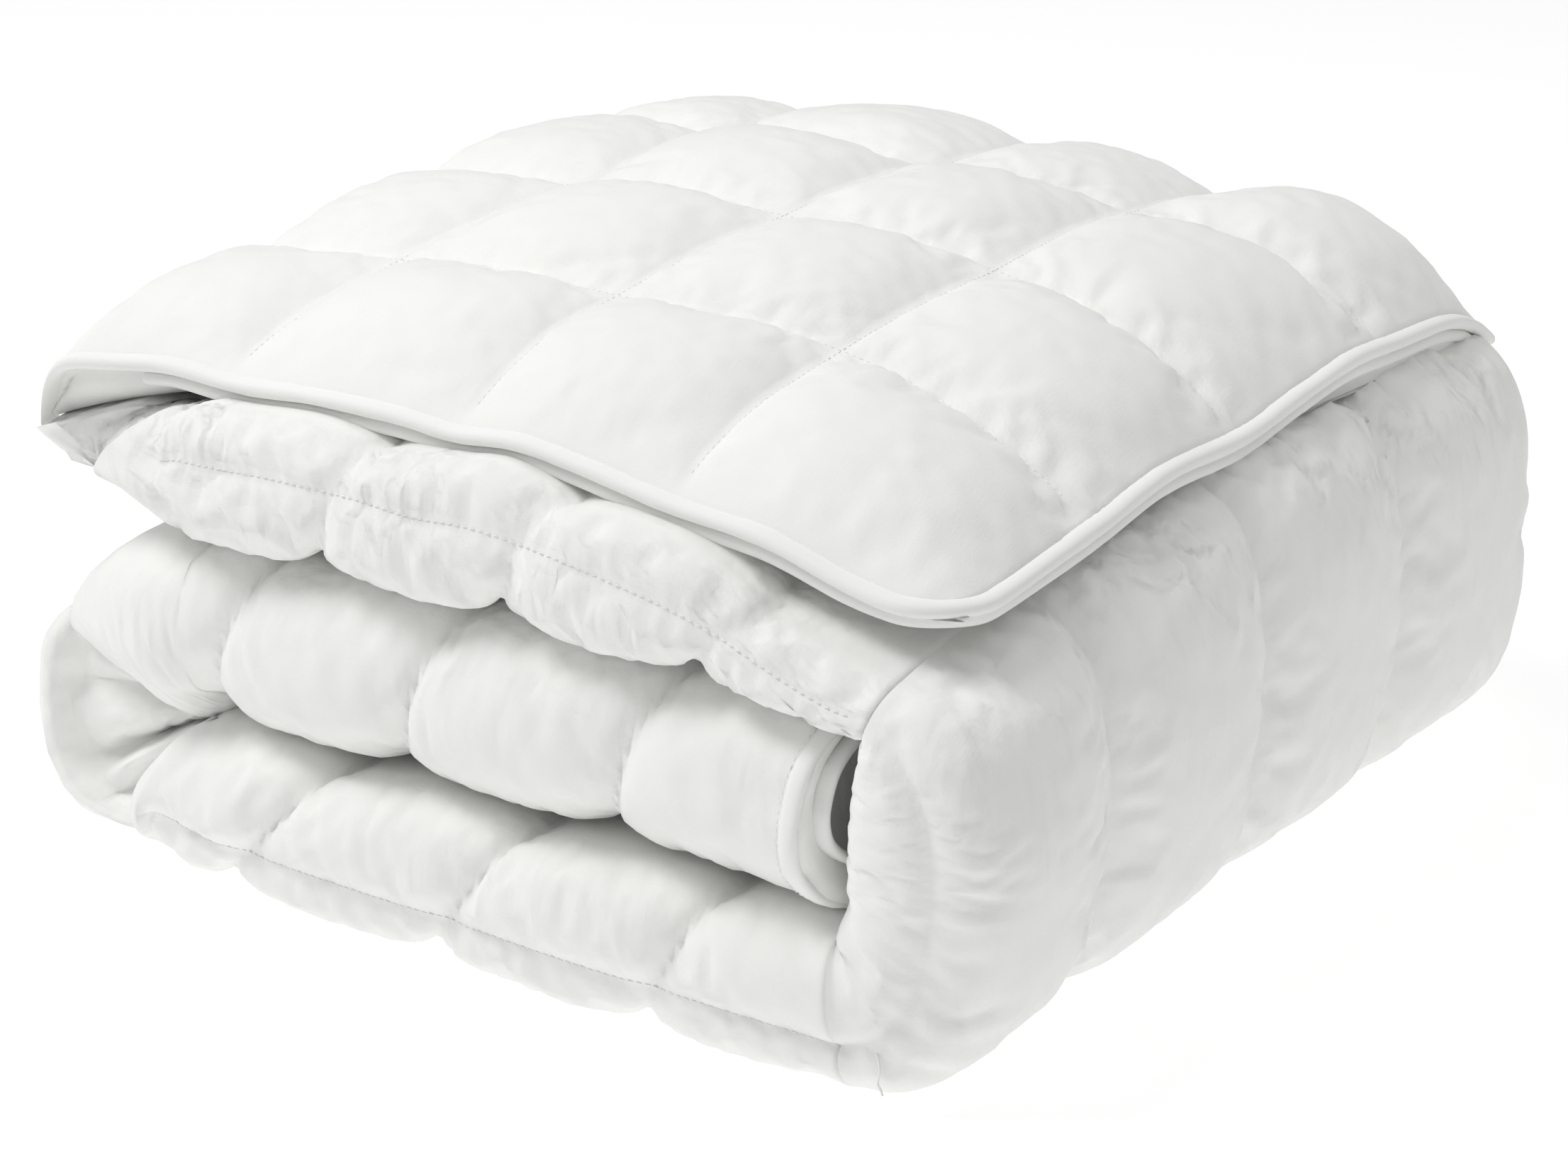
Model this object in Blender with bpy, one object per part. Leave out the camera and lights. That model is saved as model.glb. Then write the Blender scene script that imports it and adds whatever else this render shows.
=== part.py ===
"""A quilted bed duvet, folded into a four-layer stack.

The duvet is a sewn-through quilt: a cotton shell, pockets of fill, quilting
thread and a bound edge.  It is first folded front to back into a long strip,
and the strip is then folded left-right-left-right: flap, second panel, side
fold, bottom panel, inner panel.

Frame: metres, +Z up, the stack stands on Z = 0.  +X runs from the two small
folds (left) to the tall side fold (right), +Y runs from the front to the back.
"""

import math

import bmesh
import bpy
import numpy as np
from mathutils import Vector

# ---------------------------------------------------------------- dimensions
CELL = 0.140            # pitch of the quilted boxes
SEAM = -0.0215          # the middle column seam; the others are whole pitches away
HALF_DEPTH = 0.317      # half the depth of the folded strip
Y_MID = 0.0008          # middle of the depth, shifted for the stitching on the front
X_OUT = 0.3135          # outermost point of the lower fold (-) and side fold (+)
Z1 = 0.088              # bottom panel / inner panel contact
Z2 = 0.206              # inner panel / second panel contact
TOP = 0.3185            # middle of the flap's top ply, at the middle column seam
UNDER = 0.0412          # the second panel lies this far below the flap's top ply
DOME = 0.100            # the stack is domed above this height
GAP = 0.0006            # air between pieces that only touch
SKIN = 0.0012           # cover fabric, drawn thick enough to be a solid
PANEL_L = -0.205        # left end of the flat panels
PANEL_R = 0.190         # right end of the flat panels
SIDE_X = X_OUT + 0.001  # hinge line of the side fold
SIDE_Z = 0.1425
UP_OUT = -0.2885        # outermost point of the upper fold
UP_X = UP_OUT - 0.001   # hinge line of the upper fold
UP_Z = 0.2560
FLAP_R = 0.262          # free right edge of the flap
FLAP_F = -0.272         # free front edge of the flap
FLAP_B = 0.300          # back of the flap, where its two plies are folded
PLY = 0.0170            # half thickness of the flap's top ply
LOW_PLY = 0.0108        # half thickness of the flap's lower ply
LOW_DROP = 0.0291       # lower ply below the top ply, middle to middle

FILL_IN = GAP / 2 + SKIN + GAP
COLUMNS = [SEAM - CELL, SEAM, SEAM + CELL]
BEND_X = [-0.3135, PANEL_L, SEAM - CELL, SEAM - CELL / 2, SEAM, SEAM + CELL / 2, SEAM + CELL, PANEL_R, FLAP_R - 0.010, X_OUT]
BEND_Y = [-0.320, -CELL, 0.0, CELL, 0.320]

for old in list(bpy.data.objects):
    bpy.data.objects.remove(old, do_unlink=True)


# ---------------------------------------------------------------- materials
def material(name, colour, roughness):
    m = bpy.data.materials.new(name)
    m.use_nodes = True
    b = m.node_tree.nodes["Principled BSDF"]
    b.inputs["Base Color"].default_value = (*colour, 1)
    b.inputs["Roughness"].default_value = roughness
    b.inputs["Metallic"].default_value = 0.0
    return m


COTTON = material("cotton_shell", (0.86, 0.86, 0.84), 0.85)
FILL = material("fibre_fill", (0.92, 0.92, 0.91), 0.95)
TAPE_MAT = material("binding_tape", (0.88, 0.88, 0.86), 0.80)
THREAD = material("quilting_thread", (0.80, 0.79, 0.76), 0.70)

# ---------------------------------------------------------------- bodies
root = bpy.data.objects.new("duvet", None)
hinge_side = bpy.data.objects.new("side_fold_hinge", None)
hinge_up = bpy.data.objects.new("upper_fold_hinge", None)
for e in (root, hinge_side, hinge_up):
    bpy.context.scene.collection.objects.link(e)
ORIGIN = {root: Vector((0, 0, 0)), hinge_side: Vector((SIDE_X, 0, SIDE_Z)), hinge_up: Vector((UP_X, 0, UP_Z))}
hinge_side.parent = root
hinge_side.location = ORIGIN[hinge_side]
hinge_up.parent = hinge_side
hinge_up.location = ORIGIN[hinge_up] - ORIGIN[hinge_side]


# ---------------------------------------------------------------- shape rules
def level(x):
    t = (x - SEAM) / CELL
    return TOP - 0.0054 * t - 0.010 * t * t - 0.014 * max(t - 1, 0) ** 2


LEVELS = [level(x) for x in BEND_X]
DIPS = [0.0096 * y / CELL - 0.0045 * (y / CELL) ** 2 for y in BEND_Y]


def valley(x):
    """Middle height of the flap's top ply at mid depth."""
    return float(np.interp(x, BEND_X, LEVELS))


def contact(x):
    """Top of the second panel, under the flap."""
    return valley(x) - UNDER


def domed(p):
    """The stack is fuller in the middle and at the back than along its front."""
    share = min(max((p.z - DOME) / (contact(p.x) - DOME), 0.0), 1.0)
    return Vector((p.x, p.y, p.z + share * float(np.interp(p.y, BEND_Y, DIPS))))


def add(name, bm, mat, parent):
    """Makes one named object, with its origin on its body's hinge."""
    bmesh.ops.triangulate(bm, faces=bm.faces[:], quad_method="FIXED")
    bmesh.ops.recalc_face_normals(bm, faces=bm.faces[:])
    for v in bm.verts:
        v.co = domed(v.co) - ORIGIN[parent]
    mesh = bpy.data.meshes.new(name)
    bm.to_mesh(mesh)
    bm.free()
    mesh.materials.append(mat)
    mesh.shade_smooth()
    mesh.set_sharp_from_angle(angle=math.radians(40))
    o = bpy.data.objects.new(name, mesh)
    bpy.context.scene.collection.objects.link(o)
    o.parent = parent
    return o


def ring(bm, station, inset, arc=4):
    """A flat-sided section with half-round front and back ends, from the inner point to the outer point in XZ."""
    (ix, iz), (ox, oz) = station
    cx, cz = (ix + ox) / 2, (iz + oz) / 2
    full = math.hypot(ox - ix, oz - iz) / 2
    nx, nz = (ox - ix) / (2 * full), (oz - iz) / (2 * full)
    h, b = full - inset, HALF_DEPTH - inset
    turn = [math.pi * (k / arc - 0.5) for k in range(arc + 1)]
    path = [(Y_MID - (b - full) - h * math.cos(a), h * math.sin(a)) for a in turn]
    path += [(y, h) for y in BEND_Y[1:-1]]
    path += [(Y_MID + (b - full) + h * math.cos(a), -h * math.sin(a)) for a in turn]
    path += [(y, -h) for y in reversed(BEND_Y[1:-1])]
    return [bm.verts.new((cx + nx * s, y, cz + nz * s)) for y, s in path]


def join(bm, a, b):
    n = len(a)
    for i in range(n):
        bm.faces.new((a[i], a[(i + 1) % n], b[(i + 1) % n], b[i]))


def loft(name, stations, inset, mat, parent):
    """A solid through the sections, closed at both ends."""
    bm = bmesh.new()
    rings = [ring(bm, s, inset) for s in stations]
    for a, b in zip(rings, rings[1:]):
        join(bm, a, b)
    bm.faces.new(rings[0])
    bm.faces.new(rings[-1])
    return add(name, bm, mat, parent)


def sleeve(name, stations, mat, parent):
    """A cover: the same sections as a tube of fabric, open where it runs on into the next panel."""
    bm = bmesh.new()
    outer = [ring(bm, s, GAP / 2) for s in stations]
    inner = [ring(bm, s, GAP / 2 + SKIN) for s in stations]
    for rings in (outer, inner):
        for a, b in zip(rings, rings[1:]):
            join(bm, a, b)
    join(bm, outer[0], inner[0])
    join(bm, outer[-1], inner[-1])
    return add(name, bm, mat, parent)


# Each rule gives (inner point, outer point) of the folded strip: outer is the
# side that faces up on the second panel, right on the side fold and down on
# the bottom panel.
def second_panel(x):
    return (x, Z2 + GAP), (x, contact(x))


def inner_panel(x):
    return (x, Z1 + GAP / 2), (x, Z2 - GAP)


def bottom_panel(x):
    return (x, Z1 - GAP / 2), (x, -GAP / 2)


def bent(angle, power):
    """How far out and how far up a rounded bend is at an angle: 0 is its outermost point."""
    c, s = math.cos(math.radians(angle)), math.sin(math.radians(angle))
    return abs(c) ** power, math.copysign(abs(s) ** power, s)


def apart(share, reach):
    """The two halves of a fold are cut a hair apart at the hinge height."""
    return math.copysign(GAP / 2 + (reach - GAP / 2) * abs(share), share)


def side_fold(angle):
    """From the second panel (90) round the hinge height (0) to the bottom panel (-90)."""
    out, up = bent(angle, 0.72)
    top = contact(PANEL_R) - SIDE_Z if up > 0 else SIDE_Z + GAP / 2
    x = PANEL_R + (X_OUT - PANEL_R + GAP / 2) * out
    z = SIDE_Z + apart(up, top)
    if up > 0:
        z = min(z, contact(x))
    iout, iup = bent(angle, 0.5)
    deep = Z2 + GAP - SIDE_Z if up > 0 else SIDE_Z - Z1 + GAP / 2
    return (PANEL_R + 0.034 * iout, SIDE_Z + apart(iup, deep)), (x, z)


def lower_fold(angle):
    """From the inner panel (90) to the bottom panel (-90)."""
    out, up = bent(angle, 1.0 if angle > 0 else 0.8)
    reach = Z2 - Z1 - GAP if up > 0 else Z1 + GAP / 2
    return (PANEL_L - 0.004 * out, Z1 + GAP / 2 * up), (PANEL_L - (X_OUT + PANEL_L + GAP / 2) * out, Z1 + reach * up)


def upper_fold(angle):
    """From the flap (90) round the hinge height (0) to the second panel (-90)."""
    out, up = bent(angle, 0.95)
    reach = valley(PANEL_L) + PLY - UP_Z if up > 0 else UP_Z - Z2 - GAP
    inner = (PANEL_L - 0.004 * out, contact(PANEL_L) + (GAP if up > 0 else 0.0))
    return inner, (PANEL_L - (PANEL_L - UP_OUT + GAP / 2) * out, UP_Z + apart(up, reach))


# ---------------------------------------------------------------- flat panels
def panel(name, rule, parent, curved):
    """The cover of a panel, and one pocket row of fill for each quilted column."""
    left, right = PANEL_L + GAP / 2, PANEL_R - GAP / 2
    ends = [left] + COLUMNS + [right]
    bends = [x for x in BEND_X if left < x < right] if curved else []
    sleeve(name + "_cover", [rule(x) for x in [left] + bends + [right]], COTTON, parent)
    for k in range(4):
        x0, x1 = ends[k] + GAP, ends[k + 1] - GAP
        loft(f"{name}_fill_{k + 1}", [rule(x) for x in [x0] + [x for x in bends if x0 < x < x1] + [x1]], FILL_IN, FILL, parent)


panel("bottom_panel", bottom_panel, root, False)
panel("inner_panel", inner_panel, root, True)
panel("second_panel", second_panel, hinge_side, True)


# ---------------------------------------------------------------- folds
def fold(name, rule, a0, a1, steps, parent):
    eps = 0.001 if a1 > a0 else -0.001
    stations = [rule(a0 + eps + (a1 - a0 - 2 * eps) * k / steps) for k in range(steps + 1)]
    sleeve(name + "_cover", stations, COTTON, parent)
    loft(name + "_fill", stations, FILL_IN, FILL, parent)


fold("side_fold_upper", side_fold, 90, 0, 5, hinge_side)
fold("side_fold_lower", side_fold, 0, -90, 4, root)
fold("lower_fold", lower_fold, 90, -90, 8, root)
fold("upper_fold_lower", upper_fold, 0, -90, 4, hinge_side)
fold("upper_fold_upper", upper_fold, 90, 0, 4, hinge_up)


# ---------------------------------------------------------------- flap
def slab(name, xs, ys, low, high, mat, parent, keep=None):
    """A solid between two height rules over a grid; keep picks the grid cells that are part of it."""
    bm = bmesh.new()
    nx, ny = len(xs) - 1, len(ys) - 1
    cells = {(i, j) for i in range(nx) for j in range(ny) if keep is None or keep((xs[i] + xs[i + 1]) / 2, (ys[j] + ys[j + 1]) / 2)}
    top, bot = {}, {}
    for i, j in sorted(cells):
        for p in ((i, j), (i + 1, j), (i + 1, j + 1), (i, j + 1)):
            if p not in top:
                x, y = xs[p[0]], ys[p[1]]
                top[p] = bm.verts.new((x, y, high(x, y)))
                bot[p] = bm.verts.new((x, y, low(x, y)))
    for i, j in sorted(cells):
        a, b, c, d = (i, j), (i + 1, j), (i + 1, j + 1), (i, j + 1)
        bm.faces.new((top[a], top[b], top[c], top[d]))
        bm.faces.new((bot[a], bot[d], bot[c], bot[b]))
        for p, q, other in ((a, b, (i, j - 1)), (b, c, (i + 1, j)), (c, d, (i, j + 1)), (d, a, (i - 1, j))):
            if other not in cells:
                bm.faces.new((bot[p], bot[q], top[q], top[p]))
    return add(name, bm, mat, parent)


FLAP_L = PANEL_L + GAP
TOP_R, TOP_F = FLAP_R - 0.010, FLAP_F + 0.010
LOW_R, LOW_F, LOW_B = FLAP_R - 0.016, FLAP_F + 0.016, FLAP_B - 0.004
col = [FLAP_L] + COLUMNS + [TOP_R]
row = [TOP_F, -CELL, 0.0, CELL, FLAP_B]
mid_x = [(FLAP_L + COLUMNS[0]) / 2, SEAM - CELL / 2, SEAM + CELL / 2, PANEL_R]
mid_y = [(row[j] + row[j + 1]) / 2 for j in range(4)]
xs = sorted(col + mid_x)
ys = sorted(row + mid_y)
PUFF_X = [1.0, 0.85, 0.32, 1.0, 0.32, 1.0, 0.32, 0.95, 0.22]
PUFF_Y = [0.22, 0.95, 0.32, 1.0, 0.32, 1.0, 0.32, 1.0, 0.60]


def half(x, y):
    """Half thickness of the top ply: full in the middle of a box, thin on its seams and at the bound edges."""
    return PLY * max(float(np.interp(x, xs, PUFF_X)) * float(np.interp(y, ys, PUFF_Y)), 0.22)


IN = SKIN + 0.0009
slab("flap_face_cover", xs, ys, lambda x, y: valley(x) + half(x, y) - SKIN, lambda x, y: valley(x) + half(x, y), COTTON, hinge_up)
slab("flap_back_cover", xs, ys, lambda x, y: valley(x) - half(x, y), lambda x, y: valley(x) - half(x, y) + SKIN, COTTON, hinge_up)
for j in range(4):
    for i in range(4):
        slab(f"flap_fill_row{j + 1}_box{i + 1}", [col[i] + GAP, mid_x[i], col[i + 1] - GAP], [row[j] + GAP, mid_y[j], row[j + 1] - GAP],
             lambda x, y: valley(x) - half(x, y) + IN, lambda x, y: valley(x) + half(x, y) - IN, FILL, hinge_up)

low_xs = [FLAP_L] + [x for x in BEND_X if FLAP_L < x < LOW_R - 0.030] + [LOW_R - 0.030, LOW_R]
low_ys = [LOW_F, LOW_F + 0.030, -CELL, 0.0, CELL, LOW_B]


def low_half(x, y):
    return LOW_PLY * min(float(np.interp(x, low_xs[-2:], [1.0, 0.28])), float(np.interp(y, low_ys[:2], [0.28, 1.0])))


def low_mid(x):
    return valley(x) - LOW_DROP


slab("flap_lower_ply_face_cover", low_xs, low_ys, lambda x, y: low_mid(x) + low_half(x, y) - SKIN, lambda x, y: low_mid(x) + low_half(x, y), COTTON, hinge_up)
slab("flap_lower_ply_back_cover", low_xs, low_ys, lambda x, y: low_mid(x) - low_half(x, y), lambda x, y: low_mid(x) - low_half(x, y) + SKIN, COTTON, hinge_up)
slab("flap_lower_ply_fill", low_xs[:-1] + [LOW_R - 0.001], [LOW_F + 0.001] + low_ys[1:-1] + [LOW_B - 0.001],
     lambda x, y: low_mid(x) - low_half(x, y) + IN, lambda x, y: low_mid(x) + low_half(x, y) - IN, FILL, hinge_up)


# ---------------------------------------------------------------- bindings
def bar(name, path, wide, tall, sides, mat, parent):
    """A many-sided bar along a path."""
    bm = bmesh.new()
    rings = []
    for i, p in enumerate(path):
        d = (Vector(path[min(i + 1, len(path) - 1)]) - Vector(path[max(i - 1, 0)])).normalized()
        side = d.cross(Vector((0, 0, 1))).normalized()
        up = side.cross(d)
        loop = []
        for k in range(sides):
            a = math.tau * (k + 0.5) / sides
            loop.append(bm.verts.new(Vector(p) + side * wide * math.cos(a) + up * tall * math.sin(a)))
        rings.append(loop)
    for a, b in zip(rings, rings[1:]):
        join(bm, a, b)
    bm.faces.new(rings[0])
    bm.faces.new(rings[-1])
    return add(name, bm, mat, parent)


def across(y, x0, x1, drop):
    return [(x, y, valley(x) - drop) for x in [x0] + [x for x in BEND_X if x0 < x < x1] + [x1]]


def back(x, y0, y1, z):
    return [(x, y, z) for y in [y0] + [y for y in BEND_Y if y0 < y < y1] + [y1]]


edge_x, low_x = FLAP_R - 0.0048, LOW_R + 0.0042
bar("flap_front_binding", across(FLAP_F + 0.0048, FLAP_L + 0.001, FLAP_R, 0.0), 0.0044, 0.0050, 8, TAPE_MAT, hinge_up)
bar("flap_side_binding", back(edge_x, FLAP_F + 0.0102, FLAP_B, valley(edge_x)), 0.0044, 0.0050, 8, TAPE_MAT, hinge_up)
bar("flap_lower_front_binding", across(LOW_F - 0.0042, FLAP_L + 0.001, LOW_R, LOW_DROP), 0.0036, 0.0042, 8, TAPE_MAT, hinge_up)
bar("flap_lower_side_binding", back(low_x, LOW_F, LOW_B, valley(low_x) - LOW_DROP), 0.0036, 0.0042, 8, TAPE_MAT, hinge_up)
bar("inner_end_upper_binding", back(PANEL_R + 0.0070, -0.285, 0.285, 0.1600), 0.0055, 0.0048, 8, TAPE_MAT, root)
bar("inner_end_lower_binding", back(PANEL_R + 0.0070, -0.285, 0.285, 0.1340), 0.0055, 0.0048, 8, TAPE_MAT, root)

# ---------------------------------------------------------------- quilting thread
W = 0.0007
tx = sorted([x for x in xs if not any(abs(x - c) < 1e-6 for c in COLUMNS)] + [c + s for c in COLUMNS for s in (-W, W)])
ty = sorted([y for y in ys if not any(abs(y - r) < 1e-6 for r in row[1:4])] + [r + s for r in row[1:4] for s in (-W, W)])
slab("flap_quilting_thread", tx, ty, lambda x, y: valley(x) + half(x, y) + 0.0005, lambda x, y: valley(x) + half(x, y) + 0.0015, THREAD, hinge_up,
     keep=lambda x, y: any(abs(x - c) < W for c in COLUMNS) or any(abs(y - r) < W for r in row[1:4]))
front = Y_MID - HALF_DEPTH - 0.0010
run = [PANEL_L + 0.005] + [x for x in BEND_X if PANEL_L + 0.005 < x < PANEL_R - 0.005] + [PANEL_R - 0.005]
bar("second_panel_front_thread", [(x, front, (Z2 + contact(x)) / 2) for x in run], 0.0006, 0.0006, 4, THREAD, hinge_side)
bar("bottom_panel_front_thread", [(run[0], front, Z1 / 2), (run[-1], front, Z1 / 2)], 0.0006, 0.0006, 4, THREAD, root)
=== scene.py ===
"""The look of a white box-quilted duvet, folded into a stack: four plies deep, with a bound flap on top."""
import math

import bmesh
import bpy
import numpy as np
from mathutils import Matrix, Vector


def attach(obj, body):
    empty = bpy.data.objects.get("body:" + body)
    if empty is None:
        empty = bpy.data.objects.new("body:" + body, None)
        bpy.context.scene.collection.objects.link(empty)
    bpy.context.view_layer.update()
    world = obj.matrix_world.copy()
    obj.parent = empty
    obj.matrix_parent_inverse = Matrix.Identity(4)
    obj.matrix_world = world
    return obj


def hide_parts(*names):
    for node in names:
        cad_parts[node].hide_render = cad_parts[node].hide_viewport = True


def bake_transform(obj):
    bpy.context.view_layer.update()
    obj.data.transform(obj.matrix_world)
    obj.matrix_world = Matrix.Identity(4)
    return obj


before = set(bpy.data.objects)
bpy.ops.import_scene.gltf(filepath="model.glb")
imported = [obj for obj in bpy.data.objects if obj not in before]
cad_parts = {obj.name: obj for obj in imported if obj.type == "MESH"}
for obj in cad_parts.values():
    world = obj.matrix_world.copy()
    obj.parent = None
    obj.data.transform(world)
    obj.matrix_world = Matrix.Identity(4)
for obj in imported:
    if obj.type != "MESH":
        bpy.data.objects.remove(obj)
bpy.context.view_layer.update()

SHIFT = -0.0215          # the middle column seam of the flap
CELL = 0.14
Z1, Z2, DOME = 0.0825, 0.206, 0.100
HINGE_X, HINGE_Z = -0.2895, 0.2560


# ---------------------------------------------------------------- small maths
def smooth(a, b, x):
    t = np.clip((np.asarray(x, float) - a) / (b - a), 0, 1)
    return t * t * (3 - 2 * t)


def curve(points, x):
    """A smooth curve through (position, value) points."""
    xs = np.array([p[0] for p in points], float)
    ys = np.array([p[1] for p in points], float)
    x = np.clip(np.asarray(x, float), xs[0], xs[-1])
    d = np.diff(ys) / np.diff(xs)
    m = np.empty(len(xs))
    m[0], m[-1] = d[0], d[-1]
    for i in range(1, len(xs) - 1):
        m[i] = 0 if d[i - 1] * d[i] <= 0 else 2 * d[i - 1] * d[i] / (d[i - 1] + d[i])
    k = np.clip(np.searchsorted(xs, x, side="right") - 1, 0, len(xs) - 2)
    h = xs[k + 1] - xs[k]
    t = (x - xs[k]) / h
    return ((2 * t**3 - 3 * t**2 + 1) * ys[k] + (t**3 - 2 * t**2 + t) * h * m[k]
            + (-2 * t**3 + 3 * t**2) * ys[k + 1] + (t**3 - t**2) * h * m[k + 1])


class Noise:
    """Smooth noise over the plane, the same on each run."""

    def __init__(self, seed, n=64):
        r = np.random.RandomState(seed)
        self.n = n
        self.v = r.uniform(-1, 1, (n, n))

    def __call__(self, x, y):
        x, y = np.broadcast_arrays(np.asarray(x, float), np.asarray(y, float))
        i, j = np.floor(x).astype(int), np.floor(y).astype(int)
        u, w = x - i, y - j
        u, w = u * u * (3 - 2 * u), w * w * (3 - 2 * w)
        n, v = self.n, self.v
        a, b = v[i % n, j % n], v[(i + 1) % n, j % n]
        c, d = v[i % n, (j + 1) % n], v[(i + 1) % n, (j + 1) % n]
        return (a * (1 - u) + b * u) * (1 - w) + (c * (1 - u) + d * u) * w


def rise(d, reach):
    """Height of a filled pocket at a distance from its seam, from 0 to 1."""
    return 1 - np.exp(-np.abs(d) / reach)


def near(x, lines):
    """Distance to the nearest line."""
    return np.min([np.abs(x - s) for s in lines], axis=0)


# ---------------------------------------------------------------- the flap's own surface
def seam_level(x, y):
    a, b = (x - SHIFT) / CELL, y / CELL
    full = 1 - 0.62 * smooth(-1.75, -0.7, b)
    aa = np.where(a < -1, (1 + 0.95 * (-1 - a)) * full + a * a * (1 - full), a * a)
    corner = np.clip(b / 1.6, 0, 1) ** 2 * (0.019 * smooth(0.7, 1.6, a) - 0.0095)
    return 0.3194 - 0.0054 * a + 0.0096 * b - 0.0100 * aa - 0.0059 * b * b - 0.0016 * a * b + corner


FRONT_EDGE = [(-0.292, 0.262), (-0.250, 0.264), (-0.206, 0.266), (-0.159, 0.264), (-0.104, 0.267), (-0.055, 0.267), (-0.017, 0.264),
              (0.018, 0.267), (0.061, 0.262), (0.115, 0.253), (0.160, 0.249), (0.214, 0.235), (0.262, 0.228)]
RIGHT_EDGE = [(-0.275, 0.228), (-0.220, 0.232), (-0.151, 0.239), (-0.077, 0.248), (-0.014, 0.246), (0.067, 0.254), (0.120, 0.258),
              (0.177, 0.255), (0.258, 0.251), (0.30, 0.243)]
FY, RX, BY = -0.2700, 0.2640, 0.3000     # front, right and back of the flap


def flap_base(x, y):
    """Height of the flap's seams, curving down to its bound edges and round the fold on the left."""
    z = seam_level(x, y)
    fall_f = np.maximum(seam_level(x, FY) - curve(FRONT_EDGE, x), 0)
    fall_r = np.maximum(seam_level(RX, y) - curve(RIGHT_EDGE, y), 0)
    ef = np.clip(1 - (y - FY) / 0.085, 0, 1) ** 2
    er = np.clip(1 - (RX - x) / 0.085, 0, 1) ** 2
    both = ef * er
    z = z - fall_f * ef - fall_r * er + 0.5 * np.minimum(fall_f, fall_r) * both
    back = np.clip((y - 0.215) / (BY - 0.215), 0, 1) ** 2
    return z - 0.016 * back


# how far back the deep crease in the mouth of the upper fold lies
WEB_LINE = [(-0.2893, -0.284), (-0.282, -0.272), (-0.262, -0.2620), (-0.225, -0.2540), (-0.182, -0.2500)]


def sag(y):
    return 0.0075 * smooth(-0.205, -0.262, y)


def hinge_level(y):
    return HINGE_Z + 0.009 * y / CELL - 0.0012 * (y / CELL) ** 2 - sag(y)


# ---------------------------------------------------------------- meshes
def grid_mesh(name, P, close_ring=True, cap_start=True, cap_end=True):
    """A mesh from rings of points P[k, m]: rings are closed, and the ends are capped."""
    K, M = P.shape[:2]
    verts = [tuple(p) for p in P.reshape(-1, 3)]
    faces = []
    mm = M if close_ring else M - 1
    for k in range(K - 1):
        for m in range(mm):
            n = (m + 1) % M
            faces.append((k * M + m, k * M + n, (k + 1) * M + n, (k + 1) * M + m))
    for ring, want in ((0, cap_start), (K - 1, cap_end)):
        if want:
            c = len(verts)
            verts.append(tuple(P[ring].mean(axis=0)))
            for m in range(mm):
                n = (m + 1) % M
                faces.append((ring * M + m, ring * M + n, c) if ring else (ring * M + n, ring * M + m, c))
    me = bpy.data.meshes.new(name)
    me.from_pydata(verts, [], faces)
    me.update()
    o = bpy.data.objects.new(name, me)
    bpy.context.scene.collection.objects.link(o)
    return o


def facing(o):
    """Turns the faces outward and shades them smooth, keeping the vertex order."""
    bm = bmesh.new()
    bm.from_mesh(o.data)
    bmesh.ops.recalc_face_normals(bm, faces=bm.faces[:])
    if bm.calc_volume(signed=True) < 0:
        bmesh.ops.reverse_faces(bm, faces=bm.faces[:])
    bm.to_mesh(o.data)
    bm.free()
    o.data.shade_smooth()


# ---------------------------------------------------------------- flap shell
FLAP_COLS = [SHIFT - CELL, SHIFT, SHIFT + CELL]
FLAP_ROWS = [-0.140, 0.0, 0.140]


def spaced(a, b, step):
    n = max(int(round(abs(b - a) / step)), 1)
    return np.linspace(a, b, n + 1)


# how far each crossing of the quilting wanders from an even grid (rows run front to back)
UNEVEN_X = [[0, -0.0095, 0.0045, -0.0065, 0], [0, -0.0095, 0.0045, -0.0065, 0], [0, 0.0085, 0.0095, -0.0035, 0], [0, -0.0135, 0.0085, -0.0115, 0], [0, -0.010, 0.004, -0.008, 0]]
UNEVEN_Y = [[0, 0, 0, 0, 0], [0.002, 0.002, -0.006, 0.006, -0.012], [0, -0.004, -0.008, 0.002, -0.010], [0.012, 0.014, -0.010, 0.014, 0.014], [0, 0, 0, 0, 0]]


def uneven(x, y, table):
    gx = np.array([HINGE_X] + FLAP_COLS + [RX])
    gy = np.array([FY] + FLAP_ROWS + [BY])
    i = np.clip(np.searchsorted(gx, x, side="right") - 1, 0, 3)
    j = np.clip(np.searchsorted(gy, y, side="right") - 1, 0, 3)
    u = smooth(0, 1, (x - gx[i]) / (gx[i + 1] - gx[i]))
    v = smooth(0, 1, (y - gy[j]) / (gy[j + 1] - gy[j]))
    t = np.array(table)
    return (t[j, i] * (1 - u) + t[j, i + 1] * u) * (1 - v) + (t[j + 1, i] * (1 - u) + t[j + 1, i + 1] * u) * v


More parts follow.
